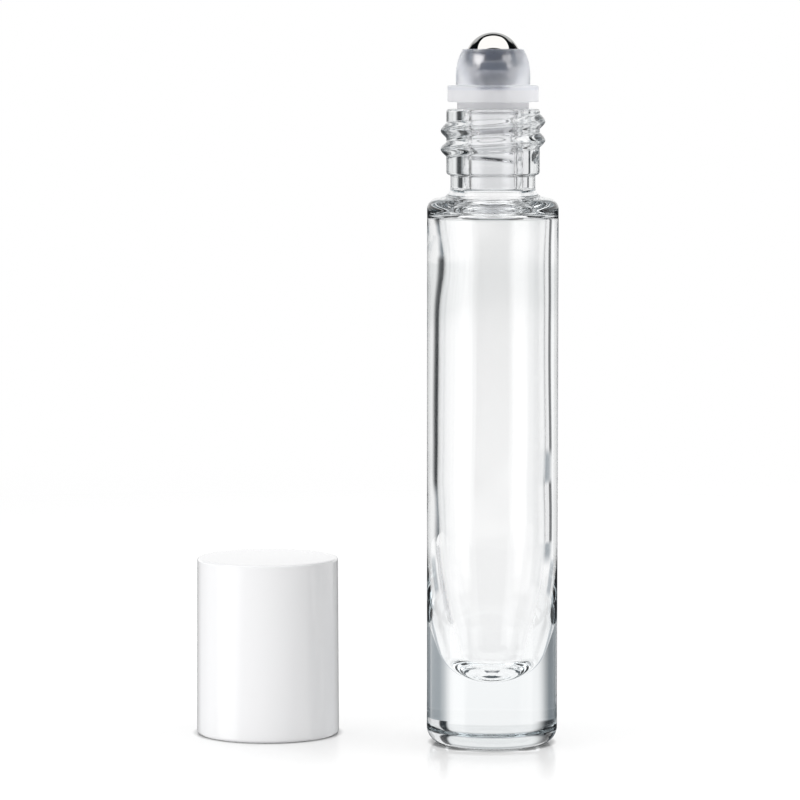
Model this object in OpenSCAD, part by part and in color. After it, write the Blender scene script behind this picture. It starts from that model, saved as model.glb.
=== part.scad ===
// Roll-on bottle of 10 ml, open, with its cap stood beside it on the table.
// All lengths are in millimetres, and the table is the plane z = 0.

/* [Glass body] */
// Outside diameter of the glass body
body_d = 18.5; // [17.5:0.1:22]
// Height of the glass, from the table to the rim of the neck
glass_h = 89.9; // [60:0.1:120]
// Thickness of the side wall
glass_wall = 1.65; // [1.2:0.05:2.2]
// Thickness of the heavy base, under the middle of the cavity
base_t = 8.9; // [3:0.1:15]
// Radius of the bowl that closes the cavity at the bottom
bowl_r = 5; // [2:0.1:6]
// How far the cavity's wall leans out above the bowl, in degrees
bowl_lean = 15; // [6:0.5:18]
// Radius of the long curve from the leaning wall up into the side wall
bowl_blend_r = 48; // [20:1:60]
// Rounding of the outer edge of the base
heel_r = 2.3; // [0.5:0.1:2.6]
// Width of the flat ring that the bottle stands on
bearing_w = 1.2; // [0.6:0.1:2.5]
// Rise of the hollow under the base, at its middle
push_up_h = 0.6; // [0.2:0.05:1.2]

/* [Glass shoulder] */
// Rounding from the side wall into the shoulder
shoulder_r = 1.5; // [0.8:0.1:2.2]
// Slope of the shoulder above the horizontal, in degrees
shoulder_slope = 12.5; // [10:0.5:30]
// Thickness of the glass in the shoulder
shoulder_t = 2.15; // [1.8:0.05:3.2]
// Rounding of the cavity under the shoulder
cavity_corner_r = 1; // [0.8:0.1:2]
// Rounding from the shoulder up into the neck
neck_fillet_r = 1.5; // [0.5:0.1:1.7]

/* [Glass neck] */
// Diameter of the bore in the neck
bore_d = 8.7; // [8.4:0.05:9.6]
// Rounding from the cavity up into the bore
bore_flare_r = 1.2; // [0.6:0.1:1.6]
// Diameter of the plain waist under the screw finish
waist_d = 11.9; // [11.4:0.1:12.4]
// Height of the plain waist
waist_h = 1.7; // [1:0.05:4]
// Diameter of the screw finish, without its thread
finish_d = 13.1; // [12.8:0.1:14]
// Height of the screw finish, from its lower edge to the rim
finish_h = 9.25; // [7:0.05:12]
// Rounding of the lower edge of the screw finish
finish_edge_r = 0.4; // [0.1:0.05:0.6]
// Fire-polished rounding of the rim, outside and inside
rim_r = 0.35; // [0.1:0.05:0.6]
// Height of the thread on the finish, which the cap's socket has to clear
thread_h = 0.8; // [0.5:0.05:1]

/* [Roller] */
// Diameter of the steel ball
ball_d = 8; // [7.6:0.1:8.6]
// Clearance between the ball and its cup
ball_gap = 0.08; // [0.05:0.01:0.15]
// Height of the ball's centre above the flange
ball_rise = 3.45; // [2.8:0.05:4]
// Height of the cup's lip above the ball's centre
lip_rise = 1.7; // [1.3:0.05:2.1]
// Thickness of the cup's wall at the ball's middle
cup_wall = 1.13; // [1:0.01:1.6]
// Height of the cup's straight outer wall above the flange
cup_straight_h = 1.45; // [0.5:0.05:2]
// Radius of the curve that draws the cup in above that
cup_curve_r = 7.5; // [7:0.1:14]
// Rounding of the lip and of the flange's edges
moulded_edge_r = 0.2; // [0.05:0.01:0.25]

/* [Roller housing] */
// Diameter of the flange, at its underside
flange_d = 12.85; // [12.2:0.05:13]
// Height of the flange
flange_h = 2.29; // [1.5:0.01:3]
// Draft of the flange, from its underside to its top, on each side
flange_draft = 0.06; // [0:0.01:0.15]
// Width of the collar's seat on the glass rim
collar_seat = 0.7; // [0.5:0.05:1.2]
// Height of the collar
collar_h = 0.96; // [0.5:0.01:1.5]
// Length of the plug in the bore
plug_l = 11.4; // [8:0.1:12.4]
// Clearance of the plug's sealing beads in the bore
plug_gap = 0.05; // [0.02:0.01:0.09]
// Thickness of the plug's wall between its beads
plug_wall = 0.95; // [0.7:0.01:1.2]
// Height of the tapered lead at the plug's end
plug_lead_h = 1.2; // [0.6:0.1:2]
// How far the lead draws in, on each side
plug_lead_in = 0.35; // [0.1:0.05:0.5]
// Number of sealing beads
bead_count = 3; // [2:1:4]
// Height of a bead over the plug's wall
bead_h = 0.25; // [0.1:0.01:0.35]
// Width of a bead at its root
bead_w = 1; // [0.6:0.1:1.4]
// Width of a bead's crest
bead_crest_w = 0.3; // [0.1:0.05:0.5]
// Thickness of the web under the ball
seat_web_t = 0.9; // [0.7:0.05:1]
// Diameter of the hole that feeds the ball
feed_d = 3; // [2:0.1:3.6]
// Number of grooves that carry the liquid round the ball
groove_count = 6; // [3:1:8]
// Width of a groove
groove_w = 0.7; // [0.4:0.05:1]
// Depth of a groove
groove_t = 0.3; // [0.1:0.05:0.4]

/* [Cap shell] */
// Height of the cap
cap_h = 25.4; // [24:0.1:28]
// Draft of the cap, from its mouth to its top, on each side
cap_draft = 0.125; // [0:0.005:0.3]
// Rounding of the cap's top edge
cap_top_r = 0.4; // [0.1:0.05:1]
// Rounding of the cap's mouth
cap_mouth_r = 0.3; // [0.05:0.01:0.4]
// Thickness of the shell's wall at the mouth
shell_wall = 1.2; // [0.8:0.05:1.25]
// Thickness of the shell's top
shell_top_t = 0.9; // [0.6:0.05:1.5]

/* [Cap insert] */
// Clearance between the thread's crest and the socket
thread_gap = 0.25; // [0.1:0.05:0.4]
// Thickness of the insert's wall
insert_wall = 0.9; // [0.6:0.05:0.95]
// Thickness of the web that bears on the ball when the cap is shut
insert_web_t = 0.6; // [0.4:0.05:1]
// How far the insert stands back from the cap's mouth
insert_recess = 0.7; // [0.3:0.1:1.5]
// Thickness of the ring that closes the gap to the shell at the mouth
insert_ring_t = 0.8; // [0.5:0.1:1.5]
// Clearance round the glass rim, the flange and the cup, when the cap is shut
shut_gap = 0.4; // [0.2:0.05:0.5]
// Room between the insert's wall and the shell, which the ring and the ribs cross
rib_room = 0.525; // [0.3:0.025:0.8]
// Number of ribs that centre the insert in the shell
rib_count = 12; // [6:1:16]
// Width of a rib
rib_w = 0.7; // [0.4:0.1:1.2]
// Press of the insert's ribs and ring into the shell, on each side
press_fit = 0.03; // [0.01:0.01:0.05]

/* [Cap on the table] */
// How far the cap's axis stands to the left of the bottle's
cap_left = 32.1; // [24:0.1:60]
// How far the cap's axis stands behind the bottle's
cap_back = 8.3; // [0:0.1:30]

/* [Hidden] */
$fn = 96;
arc_steps = 8;

// Overrun of every cut past the face that it opens
overrun = 0.5;

body_r = body_d / 2;
bore_r = bore_d / 2;
waist_r = waist_d / 2;
finish_r = finish_d / 2;
cavity_r = body_r - glass_wall;

// The insert's three steps clear the thread, the flange and the cup
socket_r = finish_r + thread_h + thread_gap;
flange_step_r = flange_d / 2 + shut_gap;
cup_step_r = ball_d / 2 + ball_gap + cup_wall + shut_gap;

// The shell goes round the insert's widest step, drafted outside and straight inside
shell_r = max(socket_r, flange_step_r) + insert_wall + rib_room;
press_r = shell_r + press_fit;
cap_r = shell_r + shell_wall;

// The bottle and the cap stand so that the middle of the whole set's footprint is the origin
bottle_at = [(cap_left + cap_r - body_r) / 2, -(cap_back + cap_r - body_r) / 2, 0];
cap_at = bottle_at + [-cap_left, cap_back, 0];

// The shoulder's slope and the direction square to it, which every round there is tangent to
slope_out = [sin(shoulder_slope), cos(shoulder_slope)];

// Heights up the neck, worked down from the rim
finish_z = glass_h - finish_h;
neck_fillet_at = [waist_r + neck_fillet_r, finish_z - waist_h];
shoulder_x = body_r - shoulder_r;
shoulder_sum = shoulder_r + neck_fillet_r;
shoulder_run = (shoulder_x - neck_fillet_at.x + shoulder_sum * slope_out.x) / slope_out.y;
shoulder_z = neck_fillet_at.y - shoulder_sum * slope_out.y - shoulder_run * slope_out.x;
shoulder_at = [shoulder_x, shoulder_z];

// The cavity's ceiling runs along the shoulder, one thickness of glass under it
ceiling_x = cavity_r - cavity_corner_r;
ceiling_cos = shoulder_t - shoulder_r + cavity_corner_r - (shoulder_x - ceiling_x) * slope_out.x;
ceiling_at = [ceiling_x, shoulder_z - ceiling_cos / slope_out.y];
flare_x = bore_r + bore_flare_r;
flare_cos = bore_flare_r + cavity_corner_r - (flare_x - ceiling_x) * slope_out.x;
flare_at = [flare_x, ceiling_at.y + flare_cos / slope_out.y];

// The bowl is a cap of a sphere, and a leaning wall runs from it to the curve that blends it upright
bowl_at = [0, base_t + bowl_r];
lean_x = cavity_r - bowl_blend_r * (1 - cos(bowl_lean));
lean_run = (lean_x - bowl_r * cos(bowl_lean)) / tan(bowl_lean);
blend_rise = (bowl_blend_r - bowl_r) * sin(bowl_lean) + lean_run;
blend_at = [cavity_r - bowl_blend_r, bowl_at.y + blend_rise];

// The hollow under the base is a shallow cap of a sphere
push_up_edge = body_r - heel_r - bearing_w;
push_up_r = (push_up_edge * push_up_edge + push_up_h * push_up_h) / (2 * push_up_h);

// Heights of the roller, worked up from the rim that its collar rests on
collar_z = glass_h + collar_h;
flange_z = collar_z + flange_h;
ball_r = ball_d / 2;
ball_z = flange_z + ball_rise;
cup_r = ball_r + ball_gap;
cup_out_r = cup_r + cup_wall;
lip_z = ball_z + lip_rise;
cup_curve_z = flange_z + cup_straight_h;
// The cup's outer curve ends where the lip's rounding takes over
lip_turn = asin((lip_z - moulded_edge_r - cup_curve_z) / (cup_curve_r - moulded_edge_r));
cup_curve_at = [cup_out_r - cup_curve_r, cup_curve_z];
lip_at = cup_curve_at + (cup_curve_r - moulded_edge_r) * [cos(lip_turn), sin(lip_turn)];

// The plug hangs in the bore from the rim
bead_r = bore_r - plug_gap;
plug_r = bead_r - bead_h;
channel_r = plug_r - plug_wall;
plug_z = glass_h - plug_l;
bead_pitch = (plug_l - plug_lead_h) / bead_count;
seat_web_z = ball_z - cup_r - seat_web_t;
channel_cone_z = seat_web_z - (channel_r - feed_d / 2);

// Height of the cap's mouth above the table when the cap is screwed down onto the ball
shut_z = ball_z + ball_r - (cap_h - shell_top_t - insert_web_t);

// Heights of the insert's steps over the cap's mouth
socket_z = glass_h - shut_z + shut_gap;
flange_step_z = flange_z - shut_z + shut_gap;
shell_under_z = cap_h - shell_top_t;
insert_under_z = shell_under_z - insert_web_t;

// Points along a round from one angle to another, turning either way
function arc(at, r, from, to) = [
    for (i = [0:arc_steps])
        let (a = from + (to - from) * i / arc_steps)
            at + r * [cos(a), sin(a)]
];

// Half section of the glass, up the outside and down the inside
function glass_section() = concat(
    arc([0, push_up_h - push_up_r], push_up_r, 90, asin(1 - push_up_h / push_up_r)),
    arc([body_r - heel_r, heel_r], heel_r, 270, 360),
    arc(shoulder_at, shoulder_r, 0, 90 - shoulder_slope),
    arc(neck_fillet_at, neck_fillet_r, 270 - shoulder_slope, 180),
    [[waist_r, finish_z]],
    arc([finish_r - finish_edge_r, finish_z + finish_edge_r], finish_edge_r, 270, 360),
    arc([finish_r - rim_r, glass_h - rim_r], rim_r, 0, 90),
    arc([bore_r + rim_r, glass_h - rim_r], rim_r, 90, 180),
    arc(flare_at, bore_flare_r, 180, 270 - shoulder_slope),
    arc(ceiling_at, cavity_corner_r, 90 - shoulder_slope, 0),
    arc(blend_at, bowl_blend_r, 0, -bowl_lean),
    arc(bowl_at, bowl_r, -bowl_lean, -90)
);

// Half section of the housing, solid where the ball's cup is cut
function housing_section() = concat(
    [
        [channel_r, plug_z],
        [plug_r - plug_lead_in, plug_z],
        [plug_r, plug_z + plug_lead_h],
        [plug_r, glass_h],
        [bore_r + collar_seat, glass_h],
        [bore_r + collar_seat, collar_z]
    ],
    arc([flange_d / 2 - moulded_edge_r, collar_z + moulded_edge_r], moulded_edge_r, 270, 360),
    arc([flange_d / 2 - flange_draft - moulded_edge_r, flange_z - moulded_edge_r], moulded_edge_r, 0, 90),
    [[cup_out_r, flange_z]],
    arc(cup_curve_at, cup_curve_r, 0, lip_turn),
    arc(lip_at, moulded_edge_r, lip_turn, 90),
    [
        [0, lip_z],
        [0, seat_web_z],
        [feed_d / 2, seat_web_z],
        [channel_r, channel_cone_z]
    ]
);

// Half section of the cap's shell
function shell_section() = concat(
    [[shell_r, 0]],
    arc([cap_r - cap_mouth_r, cap_mouth_r], cap_mouth_r, 270, 360),
    arc([cap_r - cap_draft - cap_top_r, cap_h - cap_top_r], cap_top_r, 0, 90),
    [
        [0, cap_h],
        [0, shell_under_z],
        [shell_r, shell_under_z]
    ]
);

// Half section of the cap's insert, without its ribs
function insert_section() = [
    [socket_r, insert_recess],
    [press_r, insert_recess],
    [press_r, insert_recess + insert_ring_t],
    [socket_r + insert_wall, insert_recess + insert_ring_t],
    [socket_r + insert_wall, socket_z + insert_wall],
    [flange_step_r + insert_wall, socket_z + insert_wall],
    [flange_step_r + insert_wall, flange_step_z + insert_wall],
    [cup_step_r + insert_wall, flange_step_z + insert_wall],
    [cup_step_r + insert_wall, shell_under_z],
    [0, shell_under_z],
    [0, insert_under_z],
    [cup_step_r, insert_under_z],
    [cup_step_r, flange_step_z],
    [flange_step_r, flange_step_z],
    [flange_step_r, socket_z],
    [socket_r, socket_z]
];

// One sealing bead, a ridge with sloping flanks, centred on its own height
module sealing_bead() {
    rotate_extrude()
        polygon([
            [plug_r - plug_wall / 2, -bead_w / 2],
            [plug_r, -bead_w / 2],
            [bead_r, -bead_crest_w / 2],
            [bead_r, bead_crest_w / 2],
            [plug_r, bead_w / 2],
            [plug_r - plug_wall / 2, bead_w / 2]
        ]);
}

// The grooves of the cup, as a star of bars kept to a shell round the ball's lower half
module feed_grooves() {
    intersection() {
        sphere(r = cup_r + groove_t);
        for (i = [0:groove_count - 1])
            rotate([0, 0, 360 * i / groove_count])
                translate([0, -groove_w / 2, -cup_r - groove_t])
                    cube([cup_r + groove_t, groove_w, cup_r + groove_t]);
    }
}

module bottle() {
    color([0.82, 0.91, 0.92, 0.45])
        translate(bottle_at)
            rotate_extrude()
                polygon(glass_section());
}

module roller_housing() {
    color([0.94, 0.94, 0.96, 0.8])
        translate(bottle_at)
            difference() {
                union() {
                    rotate_extrude()
                        polygon(housing_section());
                    for (i = [0:bead_count - 1])
                        translate([0, 0, plug_z + plug_lead_h + (i + 0.5) * bead_pitch])
                            sealing_bead();
                }
                translate([0, 0, ball_z]) {
                    sphere(r = cup_r);
                    feed_grooves();
                }
                translate([0, 0, seat_web_z - overrun])
                    cylinder(d = feed_d, h = ball_z - seat_web_z);
            }
}

module roller_ball() {
    color([0.72, 0.72, 0.74])
        translate(bottle_at + [0, 0, ball_z])
            sphere(r = ball_r);
}

module cap_shell() {
    color([0.97, 0.97, 0.97])
        translate(cap_at)
            rotate_extrude()
                polygon(shell_section());
}

module cap_insert() {
    color([0.92, 0.92, 0.92])
        translate(cap_at) {
            rotate_extrude()
                polygon(insert_section());
            // The ribs run from the mouth's ring to the shell's top, outside the stepped wall
            difference() {
                intersection() {
                    translate([0, 0, insert_recess])
                        cylinder(r = press_r, h = shell_under_z - insert_recess);
                    for (i = [0:rib_count - 1])
                        rotate([0, 0, 360 * i / rib_count])
                            translate([0, -rib_w / 2, insert_recess])
                                cube([cap_r, rib_w, cap_h]);
                }
                cylinder(r = socket_r + insert_wall / 2, h = socket_z + insert_wall / 2);
                cylinder(r = flange_step_r + insert_wall / 2, h = flange_step_z + insert_wall / 2);
                cylinder(r = cup_step_r + insert_wall / 2, h = cap_h);
            }
        }
}

bottle();
roller_housing();
roller_ball();
cap_shell();
cap_insert();
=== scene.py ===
# %% [markdown]
# A roll on bottle is five pieces: a glass bottle, a moulded housing that snaps into its neck, a steel
# ball held in the housing, and a cap made of a glossy shell round a screw insert. All five are round,
# so nearly every shape in this lesson is a profile turned about an axis. The CAD model is the frame
# that everything is measured from: it says where each axis stands and how big each piece is.

# %% The frame
import math

import bpy
import numpy as np
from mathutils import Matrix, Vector


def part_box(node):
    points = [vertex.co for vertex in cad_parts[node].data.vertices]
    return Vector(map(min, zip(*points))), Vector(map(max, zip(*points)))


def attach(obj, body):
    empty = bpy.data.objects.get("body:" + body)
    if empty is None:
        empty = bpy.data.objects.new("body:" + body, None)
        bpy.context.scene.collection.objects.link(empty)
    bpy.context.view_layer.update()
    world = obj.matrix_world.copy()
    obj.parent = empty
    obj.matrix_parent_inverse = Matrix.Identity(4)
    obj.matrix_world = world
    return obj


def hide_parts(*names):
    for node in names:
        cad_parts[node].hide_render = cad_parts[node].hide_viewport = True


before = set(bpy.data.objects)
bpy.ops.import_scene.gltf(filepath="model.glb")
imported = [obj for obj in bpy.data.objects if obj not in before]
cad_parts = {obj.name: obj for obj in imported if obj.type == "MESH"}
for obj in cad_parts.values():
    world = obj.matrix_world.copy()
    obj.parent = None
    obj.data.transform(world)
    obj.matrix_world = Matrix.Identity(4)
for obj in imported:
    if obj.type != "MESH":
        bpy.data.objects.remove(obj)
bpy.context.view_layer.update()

mm = 0.001


def stand(node):
    """Where a node's axis stands on the table, and its lowest and highest corners, from its box."""
    low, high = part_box(node)
    return np.array([(low.x + high.x) / 2, (low.y + high.y) / 2]), low, high


bottle_axis, bottle_low, bottle_high = stand("bottle")
housing_axis, housing_low, housing_high = stand("roller_housing")
ball_axis, ball_low, ball_high = stand("roller_ball")
cap_axis, cap_low, cap_high = stand("cap_shell")
insert_axis, insert_low, insert_high = stand("cap_insert")
print("bottle axis, mm:", (bottle_axis / mm).round(4), "cap axis, mm:", (cap_axis / mm).round(4))

# %% [markdown]
# The photograph was taken with a long lens from a little above, so upright edges stay upright and the
# tops of things show only as thin ellipses. The camera comes first, because everything made later is
# judged through it. Its lens is given the way it was measured, as a distance in pixels of an 800 pixel
# picture, and turned into millimetres of a 36 mm sensor.

# %% The camera
photo_px = 800
focal_px = 4231
sensor_w = 36
camera_distance = 598 * mm
camera_pitch = math.radians(5.06)
aim_right_of_middle = 3.4675 * mm
aim_z = 48.81 * mm

aim = Vector((aim_right_of_middle, bottle_axis[1], aim_z))
sight = Vector((0, math.cos(camera_pitch), -math.sin(camera_pitch)))
camera_data = bpy.data.cameras.new("camera")
camera_data.sensor_width = sensor_w
camera_data.lens = focal_px / photo_px * sensor_w
camera_data.clip_start = 10 * mm
camera = bpy.data.objects.new("camera", camera_data)
camera.location = aim - sight * camera_distance
camera.rotation_euler = sight.to_track_quat("-Z", "Y").to_euler()
bpy.context.scene.collection.objects.link(camera)
bpy.context.scene.camera = camera
bpy.context.scene.view_settings.view_transform = "Standard"
print("lens, mm:", round(camera_data.lens, 1))

# %% [markdown]
# Light that is caught in thick glass turns many corners before it leaves. Blender follows a ray for 12
# turns, of which 4 may be reflections, unless it is told otherwise, and each ray that it gives up leaves
# a black fleck in the shoulder or the heel. The limits are raised until most flecks are gone. The few
# longest paths still end in the dark, which suits the small black shapes in a real bottle's shoulder.

# %% How far a ray is followed
most_turns = 16
bpy.context.scene.cycles.max_bounces = most_turns
bpy.context.scene.cycles.glossy_bounces = most_turns
bpy.context.scene.cycles.transmission_bounces = most_turns
print("a ray is followed for", most_turns, "turns")

# %% [markdown]
# Every finish below is a small tree of nodes. Two helpers keep them short: one turns the hex colour
# that a designer would quote into the linear colour that a shader wants, and one adds a node with its
# settings and links in a single call.

# %% Helpers for colours and nodes


def colour(hex_code):
    """An sRGB hex value as the linear colour that a socket takes."""
    srgb = np.array([int(hex_code[i:i + 2], 16) for i in (1, 3, 5)]) / 255
    linear = np.where(srgb <= 0.04045, srgb / 12.92, ((srgb + 0.055) / 1.055) ** 2.4)
    return (*linear.tolist(), 1.0)


def add_node(tree, kind, settings=(), links=()):
    """Adds a node. Settings fill its sockets or its own properties, and links feed its sockets."""
    node = tree.nodes.new(kind)
    for name, value in dict(settings).items():
        if isinstance(name, int) or name in node.inputs:
            node.inputs[name].default_value = value
        else:
            setattr(node, name, value)
    for name, source in dict(links).items():
        tree.links.new(source, node.inputs[name])
    return node


print("a middle grey of #808080 is", round(colour("#808080")[0], 3), "in linear light")

# %% [markdown]
# Glass has no colour of its own to speak of. What the eye reads as glass is the room, bent into thin
# dark and light lines along every edge. A product photographer stands the bottle before a white wall,
# puts dark cards at both sides of it and lights it with tall soft boxes. Here that studio is a picture
# worked out from the direction of a ray. Each panel hangs at a bearing, clockwise from the back wall as
# seen from above, and spans some elevations, all in degrees. A picture so far away can't know where on
# the bottle a ray left it, as a room near by would. So each panel also says which rays see it: all of
# them, those that have been reflected on their way, or those whose last turn was a reflection.

# %% The studio's panels
studio_panels = [
    # who sees it, name, bearing, half width, soft edge, lowest, highest, soft edge, shade, strength
    ("all", "wall above eye level", 0, 46, 10, -3.4, 90, 2.5, "#f1f2f2", 1.0),
    ("all", "wall's upper part", 0, 40, 10, 20, 90, 8, "#cbcdce", 1.0),
    ("reflected", "room behind the camera", 180, 37, 3, -6.4, 90, 4.5, "#1c1d1f", 1.0),
    ("all", "left strip light", -117, 19, 2, -14, 40, 4, "#ffffff", 1.8),
    ("all", "right soft light", 129, 14, 3, -14, 40, 4, "#ffffff", 0.8),
    ("all", "left card's foot", -60, 18, 21, -14, 30, 6, "#7f868b", 1.0),
    ("all", "left card", -60, 23, 22, -7.5, 30, 5, "#15191c", 1.0),
    ("all", "left wing", -77, 14, 5, -14, 30, 8, "#939a9e", 1.0),
    ("all", "right card's foot", 52, 16, 20, -14, 30, 6, "#9aa1a6", 1.0),
    ("all", "right wing", 86, 19, 6, -14, 30, 8, "#8a9196", 1.0),
    ("all", "white between the right cards", 57, 20, 6, -7.7, 30, 1.5, "#ededee", 1.0),
    ("all", "right card", 39, 5, 4, -7.7, 30, 1.5, "#23282c", 1.0),
    ("reflected", "floor at the left", -80, 14, 5, -26, -13, 3, "#9aa1a6", 1.0),
    ("reflected", "floor at the right", 80, 14, 5, -26, -13, 3, "#9aa1a6", 1.0),
    ("reflected", "floor at the front left", -118, 24, 8, -56, -32, 3, "#12191d", 1.0),
    ("reflected", "floor at the front right", 118, 24, 8, -56, -32, 3, "#12191d", 1.0),
    ("reflected", "floor before the camera", 180, 50, 8, -72, -8.6, 4, "#565c63", 1.0),
    ("reflected", "floor behind at the left", -26, 9, 5, -26, -14, 3, "#c3c8cc", 1.0),
    ("reflected", "floor behind at the right", 26, 9, 5, -26, -14, 3, "#c3c8cc", 1.0),
    ("reflected", "floor far down behind", 0, 40, 10, -80, -54, 5, "#4a5358", 1.0),
    ("reflected", "dark above the sides", 180, 138, 12, 17, 90, 6, "#0c0f11", 1.0),
    ("all", "dark above the wall", 0, 200, 10, 40, 90, 6, "#0c0f11", 1.0),
    ("reflected last", "wall all round, low down", 0, 200, 1, 1, 14, 2, "#ffffff", 1.0),
    ("reflected last", "dark gap beside the wall", 0, 40, 1, -26, -0.8, 1, "#4a4d50", 1.0),
]
print("studio panels:", len(studio_panels))

# %% [markdown]
# The overhead soft box is a panel of its own kind. Its edges are straight on a level plane and not along
# bearings, so it is drawn on such a plane at a height of 1 above the bottle, and the sizes below are
# shares of that height. It widens towards the front, as its reflection in the real ball shows.

# %% The soft box overhead
overhead_half_w, overhead_front, overhead_back, overhead_edge = 1.2, 0.72, 0.64, 0.06
overhead_strength, overhead_spread = 1.4, 1.05
# A ray that is level or slants down is taken to rise this little, which puts it far outside the box
lowest_rise = 0.001


def soft_window(tree, value, low, high, edge):
    """1 while the value lies between low and high, falling smoothly to 0 across the edge at each end."""
    rise = add_node(tree, "ShaderNodeMapRange", {
        "interpolation_type": "SMOOTHSTEP", "From Min": low - edge / 2, "From Max": low + edge / 2,
    }, {"Value": value})
    fall = add_node(tree, "ShaderNodeMapRange", {
        "interpolation_type": "SMOOTHSTEP", "From Min": high - edge / 2, "From Max": high + edge / 2,
        "To Min": 1.0, "To Max": 0.0,
    }, {"Value": value})
    return add_node(tree, "ShaderNodeMath", {"operation": "MULTIPLY"},
                    {0: rise.outputs[0], 1: fall.outputs[0]}).outputs[0]


def paint_overhead(tree, picture, x, y, z):
    """Lays the soft box over a picture: a window on x / z and y / z, the plane's own coordinates.

    Its width is multiplied by 1 - spread * y / z, which is more than 1 towards the front.
    """
    height = add_node(tree, "ShaderNodeMath", {"operation": "MAXIMUM", 1: lowest_rise}, {0: z})
    across = add_node(tree, "ShaderNodeMath", {"operation": "DIVIDE"}, {0: x, 1: height.outputs[0]})
    along = add_node(tree, "ShaderNodeMath", {"operation": "DIVIDE"}, {0: y, 1: height.outputs[0]})
    spread = add_node(tree, "ShaderNodeMath", {"operation": "MULTIPLY_ADD", 1: -overhead_spread, 2: 1.0},
                      {0: along.outputs[0]})
    across = add_node(tree, "ShaderNodeMath", {"operation": "DIVIDE"}, {
        0: across.outputs[0], 1: spread.outputs[0]})
    mask = add_node(tree, "ShaderNodeMath", {"operation": "MULTIPLY"}, {
        0: soft_window(tree, across.outputs[0], -overhead_half_w, overhead_half_w, overhead_edge),
        1: soft_window(tree, along.outputs[0], -overhead_front, overhead_back, overhead_edge)})
    bright = [channel * overhead_strength for channel in colour("#ffffff")]
    return add_node(tree, "ShaderNodeMix", {"data_type": "RGBA", 7: bright},
                    {0: mask.outputs[0], 6: picture}).outputs[2]


box_half_angle = math.degrees(math.atan(overhead_half_w))
print("the soft box reaches", round(box_half_angle), "degrees from straight up to each side")

# %% [markdown]
# The panels are painted one over another, in the order of their rows, so a later card hides what hangs
# behind it. A ray's depth counts its reflections in whole numbers, so a depth over a half means one
# reflection or more.

# %% Painting the studio
half_a_reflection = 0.5


def paint_studio(tree):
    """The studio's brightness in every direction, as a chain of nodes on the ray's direction.

    The bearing is the arc tangent of x / y and the elevation the arc sine of z. A panel's mask is a
    window on its bearing, counted from the panel's middle, times a window on its elevation.
    """
    direction = add_node(tree, "ShaderNodeSeparateXYZ", links={
        "Vector": add_node(tree, "ShaderNodeTexCoord").outputs["Generated"]})
    x, y, z = direction.outputs
    bearing = add_node(tree, "ShaderNodeMath", {"operation": "ARCTAN2"}, {0: x, 1: y}).outputs[0]
    elevation = add_node(tree, "ShaderNodeMath", {"operation": "ARCSINE"}, {0: z}).outputs[0]
    path = add_node(tree, "ShaderNodeLightPath").outputs
    reflected = add_node(tree, "ShaderNodeMath", {"operation": "GREATER_THAN", 1: half_a_reflection},
                         {0: path["Glossy Depth"]})
    seen_only_by = {"reflected": reflected.outputs[0], "reflected last": path["Is Reflection Ray"]}
    picture = add_node(tree, "ShaderNodeRGB").outputs[0]
    picture.default_value = colour("#ffffff")
    for seen_by, name, middle, half, edge, low, high, level_edge, shade, strength in studio_panels:
        turned = add_node(tree, "ShaderNodeMath", {"operation": "SUBTRACT", 1: math.radians(middle)},
                          {0: bearing})
        wrapped = add_node(tree, "ShaderNodeMath", {"operation": "WRAP", 1: math.pi, 2: -math.pi},
                           {0: turned.outputs[0]})
        across = soft_window(tree, wrapped.outputs[0], -math.radians(half), math.radians(half),
                             math.radians(edge))
        upright = soft_window(tree, elevation, math.radians(low), math.radians(high),
                              math.radians(level_edge))
        mask = add_node(tree, "ShaderNodeMath", {"operation": "MULTIPLY"}, {0: across, 1: upright})
        mask.label = name
        if seen_by in seen_only_by:
            mask = add_node(tree, "ShaderNodeMath", {"operation": "MULTIPLY"}, {
                0: mask.outputs[0], 1: seen_only_by[seen_by]})
        painted = [channel * strength for channel in colour(shade)]
        picture = add_node(tree, "ShaderNodeMix", {"data_type": "RGBA", 7: painted},
                           {0: mask.outputs[0], 6: picture}).outputs[2]
    return paint_overhead(tree, picture, x, y, z)


# %% [markdown]
# Only rays that glass or gloss has turned see the studio. The camera sees plain white, and matt surfaces
# are lit by an even grey dome. Blender usually aims some rays at the bright parts of a world by itself.
# That would only slow the render here, because the dome has no bright parts, so it is switched off.

# %% The world
dome_strength = 0.62
world = bpy.data.worlds.new("studio")
bpy.context.scene.world = world
world.use_nodes = True
world.node_tree.nodes.clear()
world.cycles.sampling_method = "NONE"
studio = world.node_tree
rays = add_node(studio, "ShaderNodeLightPath")
dome = add_node(studio, "ShaderNodeBackground", {"Color": colour("#ffffff"), "Strength": dome_strength})
seen_in_glass = add_node(studio, "ShaderNodeBackground", links={"Color": paint_studio(studio)})
seen_by_camera = add_node(studio, "ShaderNodeBackground", {"Color": colour("#ffffff"), "Strength": 1.0})
bent = add_node(studio, "ShaderNodeMath", {"operation": "MAXIMUM"}, {
    0: rays.outputs["Is Glossy Ray"], 1: rays.outputs["Is Transmission Ray"]})
lit = add_node(studio, "ShaderNodeMixShader", links={
    0: bent.outputs[0], 1: dome.outputs[0], 2: seen_in_glass.outputs[0]})
whole = add_node(studio, "ShaderNodeMixShader", links={
    0: rays.outputs["Is Camera Ray"], 1: lit.outputs[0], 2: seen_by_camera.outputs[0]})
add_node(studio, "ShaderNodeOutputWorld", links={"Surface": whole.outputs[0]})
print("nodes in the studio:", len(studio.nodes))

# %% [markdown]
# The dome alone would light everything evenly and leave the cap flat. Three soft lamps give it form: one
# at the front left, one straight at the right, and one overhead for the tops and the table. They light
# matt surfaces only, because the studio's picture already holds what shows in glass.

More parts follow.
